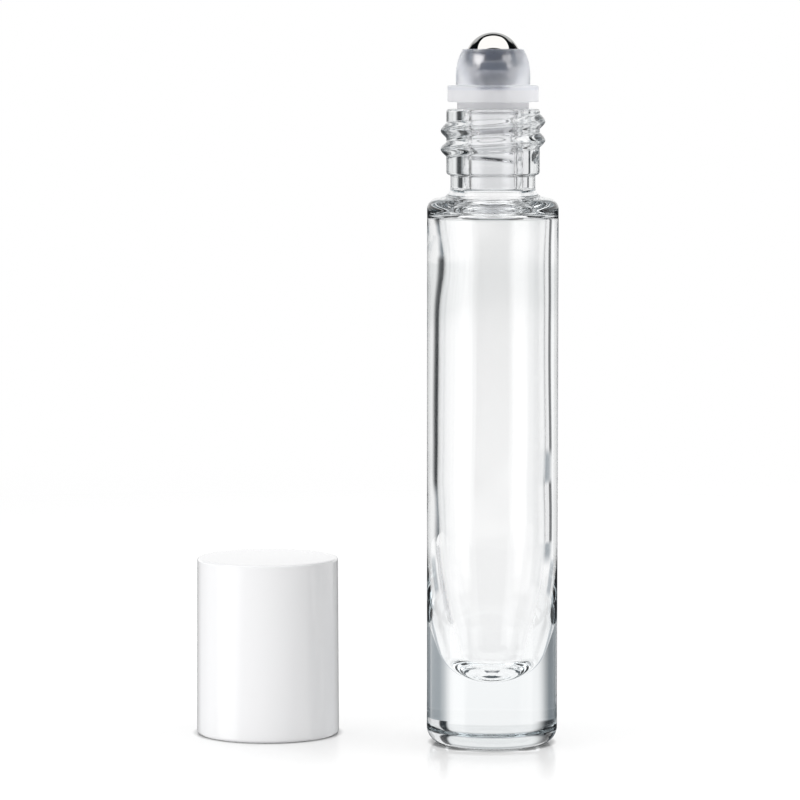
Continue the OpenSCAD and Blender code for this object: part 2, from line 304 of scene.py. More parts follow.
# %% The lamps
lamps = [
    # name, where it hangs and its width in metres, power in watts
    ("key", (-0.46, -0.26, 0.24), 0.50, 1.55),
    ("fill", (0.50, 0.04, 0.20), 0.50, 1.7),
    ("overhead", (0.02, 0.02, 0.62), 0.60, 1.20),
]
lamp_target = Vector((0, 0, 40 * mm))
for name, place, width, watts in lamps:
    lamp_data = bpy.data.lights.new(name, "AREA")
    lamp_data.size = width
    lamp_data.energy = watts
    lamp = bpy.data.objects.new(name, lamp_data)
    lamp.location = place
    lamp.rotation_euler = (lamp_target - Vector(place)).to_track_quat("-Z", "Y").to_euler()
    lamp.visible_glossy = False
    lamp.visible_transmission = False
    lamp.visible_camera = False
    bpy.context.scene.collection.objects.link(lamp)
print("lamps:", len(lamps))

# %% [markdown]
# A profile is drawn the way a pattern maker draws it: as corners, each with the radius that the mould
# gives it. A short straight step on both sides of each round keeps smooth shading from leaking into
# the flat beside it, and long stretches are split only where something has to ripple or wind round them.
# The lengths of a shape are plain numbers of millimetres. Those of a material are in metres, as Blender
# reads them, and are written as so many mm.

# %% Profiles from corners
# The straight step beside each round, and the radius that stands for none where something is divided
hold, sharp_r = 0.03, 1e-4


def rounded(corners, steps=10):
    """The points of a profile, from rows of r, z and radius, with each inner corner rounded.

    A round's centre lies on the corner's bisector, radius / sin(half the angle) from it. Its points
    swing evenly from the radius square to one edge to the radius square to the other, and a straight
    step leads in and out. A corner of no radius is a point on a curve already, and stays one point.
    """
    corners = np.array(corners, float)
    place, radius = corners[:, :2], np.maximum(corners[1:-1, 2:], sharp_r)
    back = place[:-2] - place[1:-1]
    ahead = place[2:] - place[1:-1]
    back /= np.linalg.norm(back, axis=1, keepdims=True)
    ahead /= np.linalg.norm(ahead, axis=1, keepdims=True)
    half = np.arccos(np.clip((back * ahead).sum(1, keepdims=True), -1, 1)) / 2
    bisector = (back + ahead) / np.linalg.norm(back + ahead, axis=1, keepdims=True)
    centre = place[1:-1] + bisector * radius / np.sin(half)
    reach = radius / np.tan(half)
    first = place[1:-1] + back * reach
    last = place[1:-1] + ahead * reach
    swing = (math.pi - 2 * half)[:, :, None]
    share = np.linspace(0, 1, steps + 1)[None, :, None]
    arc = ((first - centre)[:, None] * np.sin((1 - share) * swing)
           + (last - centre)[:, None] * np.sin(share * swing)) / np.sin(swing) + centre[:, None]
    lead_in = (first + back * hold)[:, None]
    lead_out = (last + ahead * hold)[:, None]
    rounds = np.concatenate([lead_in, arc, lead_out], axis=1)
    on_curve = corners[1:-1, 2] == 0
    kept = np.ones(rounds.shape[:2], bool)
    kept[on_curve] = False
    kept[on_curve, 1 + steps // 2] = True
    return np.vstack([place[:1], rounds[kept], place[-1:]])


def finer(points, longest):
    """Splits each stretch of a profile into equal steps, none longer than asked for that stretch."""
    step = np.diff(points, axis=0)
    counts = np.ceil(np.hypot(step[:, 0], step[:, 1]) / longest).astype(int).clip(1)
    stretch = np.repeat(np.arange(len(counts)), counts)
    share = (np.arange(counts.sum()) - (np.cumsum(counts) - counts)[stretch]) / counts[stretch]
    return np.vstack([points[:-1][stretch] + share[:, None] * step[stretch], points[-1:]])


print("one rounded corner has", len(rounded([[0, 0, 0], [1, 0, 0.2], [1, 1, 0]])) - 2, "points")

# %% [markdown]
# A profile becomes a skin by turning it: ring i and column j of a grid lie at r(i, j) from the axis, at
# the angle of column j. Keeping r as a whole grid, and not one number for each ring, is what lets a
# screw thread stand on a wall or a groove run down it. Profiles run up the outside and down the inside,
# so that every face points out of the material.

# %% Turned skins


def turned_skin(name, radius, height, angle, axis, body, node, material):
    """A closed mesh of rings, whose points are r cos(angle) and r sin(angle) from the axis.

    A first and last ring of no radius close to one point each. Otherwise the last ring joins the
    first, as on a tube.
    """
    rings, columns = radius.shape
    points = np.stack([axis[0] / mm + radius * np.cos(angle), axis[1] / mm + radius * np.sin(angle),
                       height + 0 * radius], axis=-1) * mm
    index = np.arange(rings * columns).reshape(rings, columns)
    poled = not radius[0].any()
    if poled:
        index[0], index[-1] = index[0, 0], index[-1, 0]
        low, high = index[:-1], index[1:]
    else:
        low, high = index, np.roll(index, -1, axis=0)
    quads = np.stack([low, np.roll(low, -1, 1), np.roll(high, -1, 1), high], axis=-1).reshape(-1, 4)
    if poled:
        fan_low, fan_high = quads[:columns, [0, 2, 3]], quads[-columns:, [0, 1, 2]]
        faces = fan_low.tolist() + quads[columns:-columns].tolist() + fan_high.tolist()
    else:
        faces = quads.tolist()
    used = np.unique(index)
    lookup = np.zeros(rings * columns, int)
    lookup[used] = np.arange(len(used))
    mesh = bpy.data.meshes.new(name)
    mesh.from_pydata(points.reshape(-1, 3)[used].tolist(), [],
                     [lookup[face].tolist() for face in faces])
    mesh.polygons.foreach_set("use_smooth", np.ones(len(mesh.polygons), bool))
    mesh.materials.append(material)
    mesh.update()
    piece = bpy.data.objects.new(name, mesh)
    bpy.context.scene.collection.objects.link(piece)
    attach(piece, body)
    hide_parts(node)
    print(name, "rings", rings, "columns", columns, "faces", len(mesh.polygons))


def around(columns):
    """Angles of a skin's columns, in degrees from +X and counterclockwise from above."""
    return np.arange(columns)[None, :] * 360 / columns


print("eight columns stand at", around(8)[0].tolist(), "degrees")

# %% [markdown]
# A screw thread is a ridge that winds up a wall. It could be a profile carried along a helix, but then
# it would be a piece of its own, stuck to the glass. A real thread is pressed in the same mould as its
# wall, so here it is a height added to the wall's rings, and the two are one skin.

# %% Screw threads


def thread(angle, height, start_angle, end_angle, start_height, pitch, width, fade=55, fullness=0.6):
    """How far a screw thread's ridge stands off its wall, as a share of its full height.

    The crest climbs one pitch a turn. Across it the ridge is a cosine hump one width wide, raised to
    a power, its fullness, which broadens the crest when it is below 1. The hump fades to nothing over
    some degrees at both ends.
    """
    share = np.zeros(np.broadcast(angle, height).shape)
    for turn in range(int(start_angle // 360), int(end_angle // 360) + 1):
        along = angle + 360 * turn
        away = np.clip(np.abs(height - start_height - pitch * along / 360) / (width / 2), 0, 1)
        hump = (0.5 + 0.5 * np.cos(math.pi * away)) ** fullness
        ends = np.clip((along - start_angle) / fade, 0, 1) * np.clip((end_angle - along) / fade, 0, 1)
        share = np.maximum(share, hump * np.sin(ends * math.pi / 2))
    return share


crest = thread(np.array([[180.0]]), np.array([[1.0]]), 0, 360, 0, 2, 1)
print("half a turn up, on its crest, a thread stands at", crest.item(), "of its height")

# %% [markdown]
# Bottle glass is shaped in an iron mould and fire polished: the outside is mirror smooth, while the
# inside, which only air has touched, is a little uneven. A transmissive principled shader with an
# index of 1.52 does the bending, and a ripple too faint to feel keeps long reflections from being ruled
# lines. The trace of blue green comes from iron in the sand. It takes a little of the red out of a ray
# for every millimetre of its way, so only thick glass shows it.

# %% Fire polished glass
glass_ior, glass_tint, glass_density = 1.52, "#b2d6e4", 5.0
ripple_l, ripple_h, ripple_strength = 6 * mm, 0.05 * mm, 0.02


def fire_polished_glass():
    """Clear bottle glass: smooth, index 1.52, with a trace of colour in its depth."""
    material = bpy.data.materials.new("fire_polished_flint_glass")
    material.use_nodes = True
    tree = material.node_tree
    tree.nodes.clear()
    ripple = add_node(tree, "ShaderNodeTexNoise", {"Scale": 1 / ripple_l, "Detail": 1.0}, {
        "Vector": add_node(tree, "ShaderNodeTexCoord").outputs["Object"]})
    bump = add_node(tree, "ShaderNodeBump", {"Strength": ripple_strength, "Distance": ripple_h},
                    {"Height": ripple.outputs["Fac"]})
    skin = add_node(tree, "ShaderNodeBsdfPrincipled", {
        "Base Color": colour("#ffffff"), "Roughness": 0.0, "IOR": glass_ior,
        "Transmission Weight": 1.0}, {"Normal": bump.outputs[0]})
    depth = add_node(tree, "ShaderNodeVolumeAbsorption", {
        "Color": colour(glass_tint), "Density": glass_density})
    add_node(tree, "ShaderNodeOutputMaterial", links={
        "Surface": skin.outputs[0], "Volume": depth.outputs[0]})
    return material


glass_finish = fire_polished_glass()
print(glass_finish.name, "index", glass_ior)

# %% [markdown]
# The bottle is one skin. Its profile starts in the hollow under the base, which keeps the bottle from
# rocking, and goes up the outside and over the rim, then down the bore and the cavity to the heavy base.
# There a bowl and a leaning wall close the cavity, and bend light more than anything else in the bottle.
# The finish is the screwed part of the neck, with one thread of a little over two turns. In the names
# of sizes, r is a radius, w a width, t a thickness, l a length, h a height of the piece itself and z a
# height above the table.

# %% The glass bottle's sizes
body_r = (bottle_high.x - bottle_low.x) / 2 / mm
rim_z = bottle_high.z / mm
glass_wall, base_t = 1.65, 8.9
heel_r, bearing_w, foot_edge_r, push_up_h = 2.3, 1.2, 0.3, 0.6
shoulder_r, shoulder_slope, shoulder_t = 1.5, 12.5, 2.15
waist_r, waist_h, neck_fillet_r = 5.95, 1.7, 1.5
finish_r, finish_h, finish_edge_r, finish_root_r, rim_edge_r = 6.55, 9.25, 0.4, 0.3, 0.35
bore_r, bore_flare_r = 4.35, 1.2
cavity_r, cavity_corner_r = body_r - glass_wall, 1.0
bowl_r, bowl_lean, bowl_blend_r = 5.0, math.radians(15), 48
thread_h, thread_w, thread_pitch = 0.8, 2.15, 2.63
# Where the thread's crest would be at 0 degrees, and the degrees from which and to which it runs
thread_start_z, thread_from, thread_to = 82.91, 8, 785
print("body radius, mm:", round(body_r, 3), "rim at, mm:", round(rim_z, 3))

# %% [markdown]
# Most corners of the profile follow from those sizes: the shoulder is worked down from the neck along
# its slope, the cavity's ceiling lies one thickness under it, and the leaning wall starts where it just
# touches the bowl. Rings are close together on the finish, where the thread needs them, further apart
# inside, where the wall is uneven, and few on the plain outside.

# %% The glass bottle's profile
thread_step, wavy_step, plain_step = 0.09, 1.2, 12
near_wall = 0.01

slope = math.tan(math.radians(shoulder_slope))
finish_z = rim_z - finish_h
neck_corner_z = finish_z - waist_h - neck_fillet_r * math.tan(math.radians(45 - shoulder_slope / 2))
shoulder_corner_z = neck_corner_z - (body_r - waist_r) * slope
under_slope = shoulder_t / math.cos(math.radians(shoulder_slope))
flare_corner_z = shoulder_corner_z + (body_r - bore_r) * slope - under_slope
ceiling_corner_z = shoulder_corner_z + (body_r - cavity_r) * slope - under_slope
bowl_corner_r = bowl_r * math.tan((math.pi / 2 - bowl_lean) / 2)
bowl_h = (cavity_r - bowl_corner_r) / math.tan(bowl_lean)
push_up_edge = body_r - heel_r - bearing_w
out_share = np.linspace(0, 1, 12)[:, None]
push_up = np.hstack([out_share * push_up_edge, push_up_h * (1 - out_share ** 2), 0 * out_share])[:-1]

glass_profile = rounded(np.vstack([push_up, [
    [push_up_edge, 0, foot_edge_r],
    [body_r, 0, heel_r],
    [body_r, shoulder_corner_z, shoulder_r],
    [waist_r, neck_corner_z, neck_fillet_r],
    [waist_r, finish_z, finish_root_r],
    [finish_r, finish_z, finish_edge_r],
    [finish_r, rim_z, rim_edge_r],
    [bore_r, rim_z, rim_edge_r],
    [bore_r, flare_corner_z, bore_flare_r],
    [cavity_r, ceiling_corner_z, cavity_corner_r],
    [cavity_r, base_t + bowl_h, bowl_blend_r],
    [bowl_corner_r + hold, base_t, bowl_r],
    [0, base_t, 0],
]]), steps=16)
middle_r, middle_z = (glass_profile[:-1] + glass_profile[1:]).T / 2
on_finish = (middle_r > finish_r - near_wall) & (middle_z > finish_z) & (middle_r < finish_r + near_wall)
on_outer_wall = middle_r > body_r - near_wall
longest_step = np.where(on_finish, thread_step, np.where(on_outer_wall, plain_step, wavy_step))
glass_profile = finer(glass_profile, longest_step)
print("rings of the bottle:", len(glass_profile))

# %% [markdown]
# No blown wall is quite true. Slow waves wind round the inside of this one, a few hundredths of a
# millimetre high, and under the shoulder it swells inwards, more at the left than at the right. Bump
# in a shader is for detail finer than this. Waves this long are worked into the rings, so that the mesh
# itself is the lens that makes the long lines in the glass waver.

# %% The glass bottle
wave_h, broad_wave, slow_change, cross_wave, short_wave = 0.03, 9, 13, 17, 5
swell_z, swell_reach, swell_h, swell_lean, swell_front_share = 68.3, 4.2, 0.30, 0.18, 0.15
lower_swell_z, lower_swell_reach, lower_swell_h = 37, 3.5, 0.10
calm_over_bowl, calm_under_ceiling, calm_by_bore = 2, 3, 0.5


def bell(z, middle, reach):
    """1 at its middle and less away from it, as exp(-(distance / reach) ** 2)."""
    return np.exp(-((z - middle) / reach) ** 2)


def glass_skin(profile, columns=240):
    """The bottle's rings: the turned profile, with the thread on its finish and an uneven inside.

    The waves are sines of two or three times the angle plus the height over each wave's length. The
    swelling is a bell along the height. Round the axis it is a mean that leans to the left, times a
    squared cosine that keeps it at the sides. A second, smaller bell pushes the inside to the left.
    All of it dies away at the bowl, the ceiling and the bore.
    """
    angle = around(columns)
    r, z = profile[:, :1], profile[:, 1:]
    outside = np.arange(len(profile))[:, None] < np.argmax(profile[:, 1])
    finish = outside & (z > finish_z) & (r > finish_r - finish_edge_r)
    ridge = thread(angle, z, thread_from, thread_to, thread_start_z, thread_pitch, thread_w)
    turn = np.radians(angle)
    wave = (np.sin(2 * turn + z / broad_wave) * np.sin(z / slow_change + 1)
            + np.sin(3 * turn - z / cross_wave + 2) + 0.5 * np.sin(2 * turn + z / short_wave))
    deep = np.clip((base_t + bowl_r + calm_over_bowl - z) / bowl_r, 0, 1)
    high = np.clip((z - ceiling_corner_z + calm_under_ceiling) / calm_under_ceiling, 0, 1)
    free = (1 - deep) * (1 - high) * ~outside * (r > bore_r + calm_by_bore)
    at_sides = swell_front_share + (1 - swell_front_share) * np.cos(turn) ** 2
    swell = (swell_h - swell_lean * np.cos(turn)) * at_sides * bell(z, swell_z, swell_reach)
    lean = lower_swell_h * np.cos(turn) * bell(z, lower_swell_z, lower_swell_reach)
    return r + finish * ridge * thread_h + free * (wave_h * wave - swell - lean), z, turn


radius, height, turn = glass_skin(glass_profile)
turned_skin("glass_bottle", radius, height, turn, bottle_axis, "bottle", "bottle",
            glass_finish)

# %% [markdown]
# The housing is moulded in natural polyethylene, with no pigment. It is waxy and milky: light goes in,
# scatters and comes out near by. Subsurface scattering can do that, but it is noisy on walls this thin.
# Here a rough clear skin is mixed with matt milk, which turns half of its light back and lets half
# through. The thick flange and collar hold much milk. The thin cup holds little, so the ball shows
# through it as a soft shadow, and thin milk scatters blue light most, so the cup's is bluer. The plug
# holds none and is smoother, because it lies against glass. The index is set below polyethylene's 1.5,
# because a wall that scatters light bends what is seen through it less sharply.

# %% Natural polyethylene
milk_where_thin, milk_where_thick = 0.09, 0.68
milk_shade, thin_milk_shade, clear_shade = "#fbfbfd", "#b4c8f0", "#fdfdfe"
milky_under_rim, milky_under_lip, milky_edge = 0.4 * mm, 5.6 * mm, 0.5 * mm
milky_low, milky_high = bottle_high.z - milky_under_rim, housing_high.z - milky_under_lip
# Below and above everything, in metres
table_z, far_above = 0, 1
cup_roughness, thick_roughness, plug_polish = 0.38, 0.6, 0.27
satin_grain, satin_h, satin_strength, satin_spread = 0.6 * mm, 0.02 * mm, 0.01, 0.03
waxy_ior, milk_let_through = 1.16, 0.5


def natural_polyethylene():
    """Unpigmented moulded polyethylene: milky, waxy, with a fine satin skin."""
    material = bpy.data.materials.new("natural_polyethylene_moulded")
    material.use_nodes = True
    tree = material.node_tree
    tree.nodes.clear()
    place = add_node(tree, "ShaderNodeTexCoord").outputs["Object"]
    height = add_node(tree, "ShaderNodeSeparateXYZ", links={"Vector": place}).outputs[2]
    in_bore = soft_window(tree, height, table_z, milky_low, milky_edge)
    thick = soft_window(tree, height, milky_low, milky_high, milky_edge)
    in_cup = soft_window(tree, height, milky_high, far_above, milky_edge)
    satin = add_node(tree, "ShaderNodeTexNoise", {"Scale": 1 / satin_grain, "Detail": 1.0},
                     {"Vector": place})
    bump = add_node(tree, "ShaderNodeBump", {"Strength": satin_strength, "Distance": satin_h},
                    {"Height": satin.outputs["Fac"]})
    above_bore = add_node(tree, "ShaderNodeMapRange", {
        "To Min": cup_roughness, "To Max": thick_roughness}, {"Value": thick})
    satin_rough = add_node(tree, "ShaderNodeMath", {"operation": "MULTIPLY_ADD", 1: satin_spread}, {
        0: satin.outputs["Fac"], 2: above_bore.outputs[0]})
    rough = add_node(tree, "ShaderNodeMath", {"operation": "MULTIPLY_ADD", 1: -plug_polish}, {
        0: in_bore, 2: satin_rough.outputs[0]})
    clear = add_node(tree, "ShaderNodeBsdfPrincipled", {
        "Base Color": colour(clear_shade), "IOR": waxy_ior, "Transmission Weight": 1.0,
        "Coat Weight": 0.3, "Coat Roughness": 0.3, "Coat IOR": 1.4},
        {"Normal": bump.outputs[0], "Roughness": rough.outputs[0]})
    scattered = add_node(tree, "ShaderNodeMix", {
        "data_type": "RGBA", 6: colour(milk_shade), 7: colour(thin_milk_shade)}, {0: in_cup})
    turned_back = add_node(tree, "ShaderNodeBsdfDiffuse", links={"Color": scattered.outputs[2]})
    let_through = add_node(tree, "ShaderNodeBsdfTranslucent", {"Color": colour(milk_shade)})
    milky = add_node(tree, "ShaderNodeMixShader", {0: milk_let_through}, {
        1: turned_back.outputs[0], 2: let_through.outputs[0]})
    cup_milk = add_node(tree, "ShaderNodeMath", {"operation": "MULTIPLY", 1: milk_where_thin},
                        {0: in_cup})
    milk = add_node(tree, "ShaderNodeMath", {"operation": "MULTIPLY_ADD", 1: milk_where_thick}, {
        0: thick, 2: cup_milk.outputs[0]})
    skin = add_node(tree, "ShaderNodeMixShader", links={
        0: milk.outputs[0], 1: clear.outputs[0], 2: milky.outputs[0]})
    add_node(tree, "ShaderNodeOutputMaterial", links={"Surface": skin.outputs[0]})
    return material


housing_finish = natural_polyethylene()
print(housing_finish.name, "milk in the flange", milk_where_thick, "and in the cup", milk_where_thin)

# %% [markdown]
# The housing is one moulding with three jobs. Its hollow plug seals in the bore, its collar sits on the
# glass rim under a wide flange, and its cup closes over the ball in a lip that is narrower than the ball,
# so the ball can turn but not leave. The skin is closed like a tube, because the liquid's channel runs
# right through it. The profile starts and ends on the channel's wall, where a seam is out of sight.

# %% The roller housing's profile
ball_r = (ball_high.x - ball_low.x) / 2 / mm
ball_z = (ball_high.z + ball_low.z) / 2 / mm
plug_z, lip_z = housing_low.z / mm, housing_high.z / mm
bead_count, bead_h, bead_w, bead_foot_share = 3, 0.25, 0.65, 1.5
plug_gap, plug_wall, plug_lead_h, plug_lead_in = 0.05, 0.95, 1.2, 0.35
plug_r = bore_r - plug_gap - bead_h
channel_r = plug_r - plug_wall
collar_seat, collar_h, flange_r, flange_h, flange_draft = 0.7, 0.96, 6.425, 2.29, 0.06
collar_r, collar_z = bore_r + collar_seat, rim_z + collar_h
flange_z = collar_z + flange_h
ball_gap, cup_wall, cup_straight_h, cup_curve_r, cup_curve_end = 0.08, 1.13, 1.45, 7.5, 28.6
cup_r, cup_curve_z = ball_r + ball_gap, flange_z + cup_straight_h
cup_out_r = cup_r + cup_wall
feed_r, seat_web_t = 1.5, 0.9
seat_web_z = ball_z - cup_r - seat_web_t
channel_cone_z = seat_web_z - (channel_r - feed_r)
lip_edge_r, feed_edge_r, seat_edge_r, tip_edge_r = 0.06, 0.1, 0.1, 0.15
lead_edge_r, collar_edge_r, flange_edge_r = 0.3, 0.15, 0.2
seam_h, housing_step = 0.5, 0.5

cup_rise = np.linspace(0, cup_curve_end, 14)
cup_side = np.stack([cup_out_r - cup_curve_r + cup_curve_r * np.cos(np.radians(cup_rise)),
                     cup_curve_z + cup_curve_r * np.sin(np.radians(cup_rise)), 0 * cup_rise], 1)
cup_fall = np.linspace(math.asin((lip_z - ball_z) / cup_r), -math.acos(feed_r / cup_r), 40)
cup_inside = np.stack([cup_r * np.cos(cup_fall), ball_z + cup_r * np.sin(cup_fall), 0 * cup_fall], 1)
cup_side[-1, 2] = cup_inside[0, 2] = cup_inside[-1, 2] = lip_edge_r
housing_profile = finer(rounded(np.vstack([
    [[channel_r, plug_z + seam_h, 0],
     [channel_r, plug_z, tip_edge_r],
     [plug_r - plug_lead_in, plug_z, tip_edge_r],
     [plug_r, plug_z + plug_lead_h, lead_edge_r],
     [plug_r, rim_z, seat_edge_r],
     [collar_r, rim_z, seat_edge_r],
     [collar_r, collar_z, collar_edge_r],
     [flange_r, collar_z, flange_edge_r],
     [flange_r - flange_draft, flange_z, flange_edge_r],
     [cup_out_r, flange_z, collar_edge_r],
     [cup_out_r, cup_curve_z, 0]],
    cup_side[1:],
    cup_inside,
    [[feed_r, seat_web_z, feed_edge_r],
     [channel_r, channel_cone_z, 0]],
]), steps=6), housing_step)
print("rings of the housing:", len(housing_profile))

# %% [markdown]
# Three beads round the plug do the sealing, and six grooves in the cup carry the liquid up round the
# ball. Both are small heights on the turned skin, so they stay part of the one moulding.

# %% The roller housing
bead_pitch = (rim_z - plug_z - plug_lead_h) / bead_count
groove_count, groove_w, groove_t, groove_side_w, groove_run_out = 6, 0.7, 0.3, 0.2, 0.6
plain_under_rim, near_cup = 0.2, 0.02


def from_nearest(angle, count):
    """Degrees to the nearest of some equal divisions of a turn, the first of which is at 0."""
    sector = 360 / count
    return np.abs((angle + sector / 2) % sector - sector / 2)


def housing_skin(profile, columns=192):
    """The housing's rings: its sealing beads stand off the plug, and grooves sink into its cup.

    A bead is flat on top and slopes at both sides, and is one bead width wide at half its height. A
    groove moves the cup's wall straight away from the ball's centre, and runs out towards the ball's
    middle.
    """
    angle = around(columns)
    r, z = profile[:, :1], profile[:, 1:]
    from_bead = np.abs((z - plug_z - plug_lead_h) % bead_pitch - bead_pitch / 2)
    on_plug = (np.abs(r - plug_r) < near_wall) & (z < rim_z - plain_under_rim) & (z > plug_z + plug_lead_h)
    bead = np.clip(bead_foot_share - from_bead / (bead_w / 2), 0, 1) * bead_h
    across = r * np.radians(from_nearest(angle, groove_count))
    in_cup = (np.abs(np.hypot(r, z - ball_z) - cup_r) < near_cup) & (z < ball_z)
    groove = np.clip((groove_w / 2 + groove_side_w / 2 - across) / groove_side_w, 0, 1)
    out = in_cup * groove * np.clip((ball_z - z) / groove_run_out, 0, 1) * groove_t
    slant = (z - ball_z) / cup_r
    level = np.sqrt(1 - np.clip(slant, -1, 1) ** 2)
    return r + on_plug * bead + out * level, z + out * slant, np.radians(angle)


radius, height, turn = housing_skin(housing_profile)
turned_skin("moulded_housing", radius, height, turn, housing_axis, "housing", "roller_housing",
            housing_finish)

# %% [markdown]
# The ball is stainless steel, ground and lapped to a mirror. A metal needs no more than its own colour,
# full metallic and very little roughness: everything seen on it is the studio. A faint haze, in patches
# about a millimetre wide, is what handling leaves.

# %% Lapped steel
steel_shade = "#dcdad7"
haze_patch, least_haze, most_haze = 1.2 * mm, 0.02, 0.06


def lapped_steel():
    """Lapped stainless steel: a mirror with the faintest haze where it has been handled."""
    material = bpy.data.materials.new("lapped_stainless_steel")
    material.use_nodes = True
    tree = material.node_tree
    tree.nodes.clear()
    haze = add_node(tree, "ShaderNodeTexNoise", {"Scale": 1 / haze_patch, "Detail": 4.0}, {
        "Vector": add_node(tree, "ShaderNodeTexCoord").outputs["Object"]})
    rough = add_node(tree, "ShaderNodeMapRange", {"To Min": least_haze, "To Max": most_haze},
                     {"Value": haze.outputs["Fac"]})
    skin = add_node(tree, "ShaderNodeBsdfPrincipled", {
        "Base Color": colour(steel_shade), "Metallic": 1.0}, {"Roughness": rough.outputs[0]})
    add_node(tree, "ShaderNodeOutputMaterial", links={"Surface": skin.outputs[0]})
    return material


ball_finish = lapped_steel()
print(ball_finish.name, "roughness up to", most_haze)

# %% [markdown]
# A ball is a profile too: half a circle, turned. A mirror shows every facet, so it has more rings and
# columns than its size would ask for. The poles are put on the axis outright, because the cosine of 90
# degrees comes out a little above 0.

# %% The ball
rise = np.radians(np.linspace(-90, 90, 65)[:, None])
turn = np.radians(around(128))
radius = ball_r * np.cos(rise) * np.ones_like(turn)
radius[[0, -1]] = 0
turned_skin("steel_ball", radius, ball_z + ball_r * np.sin(rise), turn, ball_axis, "ball", "roller_ball",
            ball_finish)

# %% [markdown]
# The cap's shell is white moulded plastic polished by its mould, and its insert is the same white left
# satin. Both are opaque, so what matters is how wide their highlights are. The noise that varies their
# roughness and bump is as wide as the marks of the mould's polish.

# %% White plastics
shell_tone, shell_roughness, shell_marks = "#ededee", (0.05, 0.1), 0.8 * mm
insert_tone, insert_roughness, insert_marks = "#ececea", (0.4, 0.5), 0.5 * mm
mark_h, mark_strength, plastic_ior = 0.01 * mm, 0.03, 1.5


def white_moulding(name, tone, roughness, marks):
    """White moulded plastic: its roughness wanders a little, at the scale of the mould's polish."""
    material = bpy.data.materials.new(name)
    material.use_nodes = True
    tree = material.node_tree
    tree.nodes.clear()
    polish = add_node(tree, "ShaderNodeTexNoise", {"Scale": 1 / marks, "Detail": 3.0}, {
        "Vector": add_node(tree, "ShaderNodeTexCoord").outputs["Object"]})
    bump = add_node(tree, "ShaderNodeBump", {"Strength": mark_strength, "Distance": mark_h},
                    {"Height": polish.outputs["Fac"]})
    rough = add_node(tree, "ShaderNodeMapRange", {"To Min": roughness[0], "To Max": roughness[1]},
                     {"Value": polish.outputs["Fac"]})
    skin = add_node(tree, "ShaderNodeBsdfPrincipled", {"Base Color": colour(tone), "IOR": plastic_ior},
                    {"Normal": bump.outputs[0], "Roughness": rough.outputs[0]})
    add_node(tree, "ShaderNodeOutputMaterial", links={"Surface": skin.outputs[0]})
    return material


shell_finish = white_moulding("glossy_white_moulding", shell_tone, shell_roughness, shell_marks)
insert_finish = white_moulding("satin_white_moulding", insert_tone, insert_roughness, insert_marks)
print(shell_finish.name, shell_roughness, insert_finish.name, insert_roughness)

# %% [markdown]
# The shell is a plain cup stood mouth down. A moulding needs a little draft to leave its mould, so its
# top is narrower than its mouth, by an eighth of a millimetre on each side. Nothing winds round it, so
# it needs few rings.

# %% The cap's shell
cap_r = (cap_high.x - cap_low.x) / 2 / mm
cap_h = cap_high.z / mm
cap_draft, cap_top_r, cap_mouth_r, shell_wall, shell_top_t = 0.125, 0.4, 0.45, 1.2, 0.9
shell_corner_r, shell_lip_r, shell_step = 0.3, 0.1, 2.0
shell_r = cap_r - shell_wall
shell_profile = finer(rounded([
    [0, cap_h - shell_top_t, 0],
    [shell_r, cap_h - shell_top_t, shell_corner_r],
    [shell_r, 0, shell_lip_r],
    [cap_r, 0, cap_mouth_r],
    [cap_r - cap_draft, cap_h, cap_top_r],
    [0, cap_h, 0],
]), shell_step)
turn = np.radians(around(192))
turned_skin("cap_shell_skin", shell_profile[:, :1] * np.ones_like(turn), shell_profile[:, 1:], turn,
            cap_axis, "cap", "cap_shell", shell_finish)

# %% [markdown]
# The insert is pressed into the shell and does the cap's work. It is stepped inside, for the neck, the
# flange and the cup, and ends in a web that bears on the ball when the cap is shut. So the steps are
# worked out from the neck and the housing as they lie when the cap's mouth is at its shut height. The
# outside follows the steps one wall away, and a ring at the mouth and ribs up the sides hold it in the
# shell. Its thread stands inwards, half a pitch below the neck's, so that the two slide past each other.

# %% The cap's insert
insert_z, shell_under_z = insert_low.z / mm, insert_high.z / mm
press_r = (insert_high.x - insert_low.x) / 2 / mm
insert_wall, web_t, ring_t, thread_gap, shut_gap = 0.9, 0.6, 0.8, 0.25, 0.4
shut_z = ball_z + ball_r - (cap_h - shell_top_t - web_t)
socket_r, socket_z = finish_r + thread_h + thread_gap, rim_z - shut_z + shut_gap
flange_step_r, flange_step_z = flange_r + shut_gap, flange_z - shut_z + shut_gap
cup_step_r = cup_out_r + shut_gap
deep_corner_r, step_edge_r, socket_lip_r, insert_step = 0.2, 0.1, 0.15, 0.25
cap_thread_from, cap_thread_to, cap_thread_w, plain_end = 20, 700, 1.6, 0.3
rib_count, rib_w, rib_slant_share, near_socket = 12, 0.7, 0.01, 0.02
insert_profile = finer(rounded([
    [0, shell_under_z - web_t, 0],
    [cup_step_r, shell_under_z - web_t, deep_corner_r],
    [cup_step_r, flange_step_z, step_edge_r],
    [flange_step_r, flange_step_z, deep_corner_r],
    [flange_step_r, socket_z, step_edge_r],
    [socket_r, socket_z, deep_corner_r],
    [socket_r, insert_z, socket_lip_r],
    [press_r, insert_z, step_edge_r],
    [press_r, insert_z + ring_t, step_edge_r],
    [socket_r + insert_wall, insert_z + ring_t, step_edge_r],
    [socket_r + insert_wall, socket_z + insert_wall, deep_corner_r],
    [flange_step_r + insert_wall, socket_z + insert_wall, step_edge_r],
    [flange_step_r + insert_wall, flange_step_z + insert_wall, deep_corner_r],
    [cup_step_r + insert_wall, flange_step_z + insert_wall, step_edge_r],
    [cup_step_r + insert_wall, shell_under_z, step_edge_r],
    [0, shell_under_z, 0],
], steps=5), insert_step)


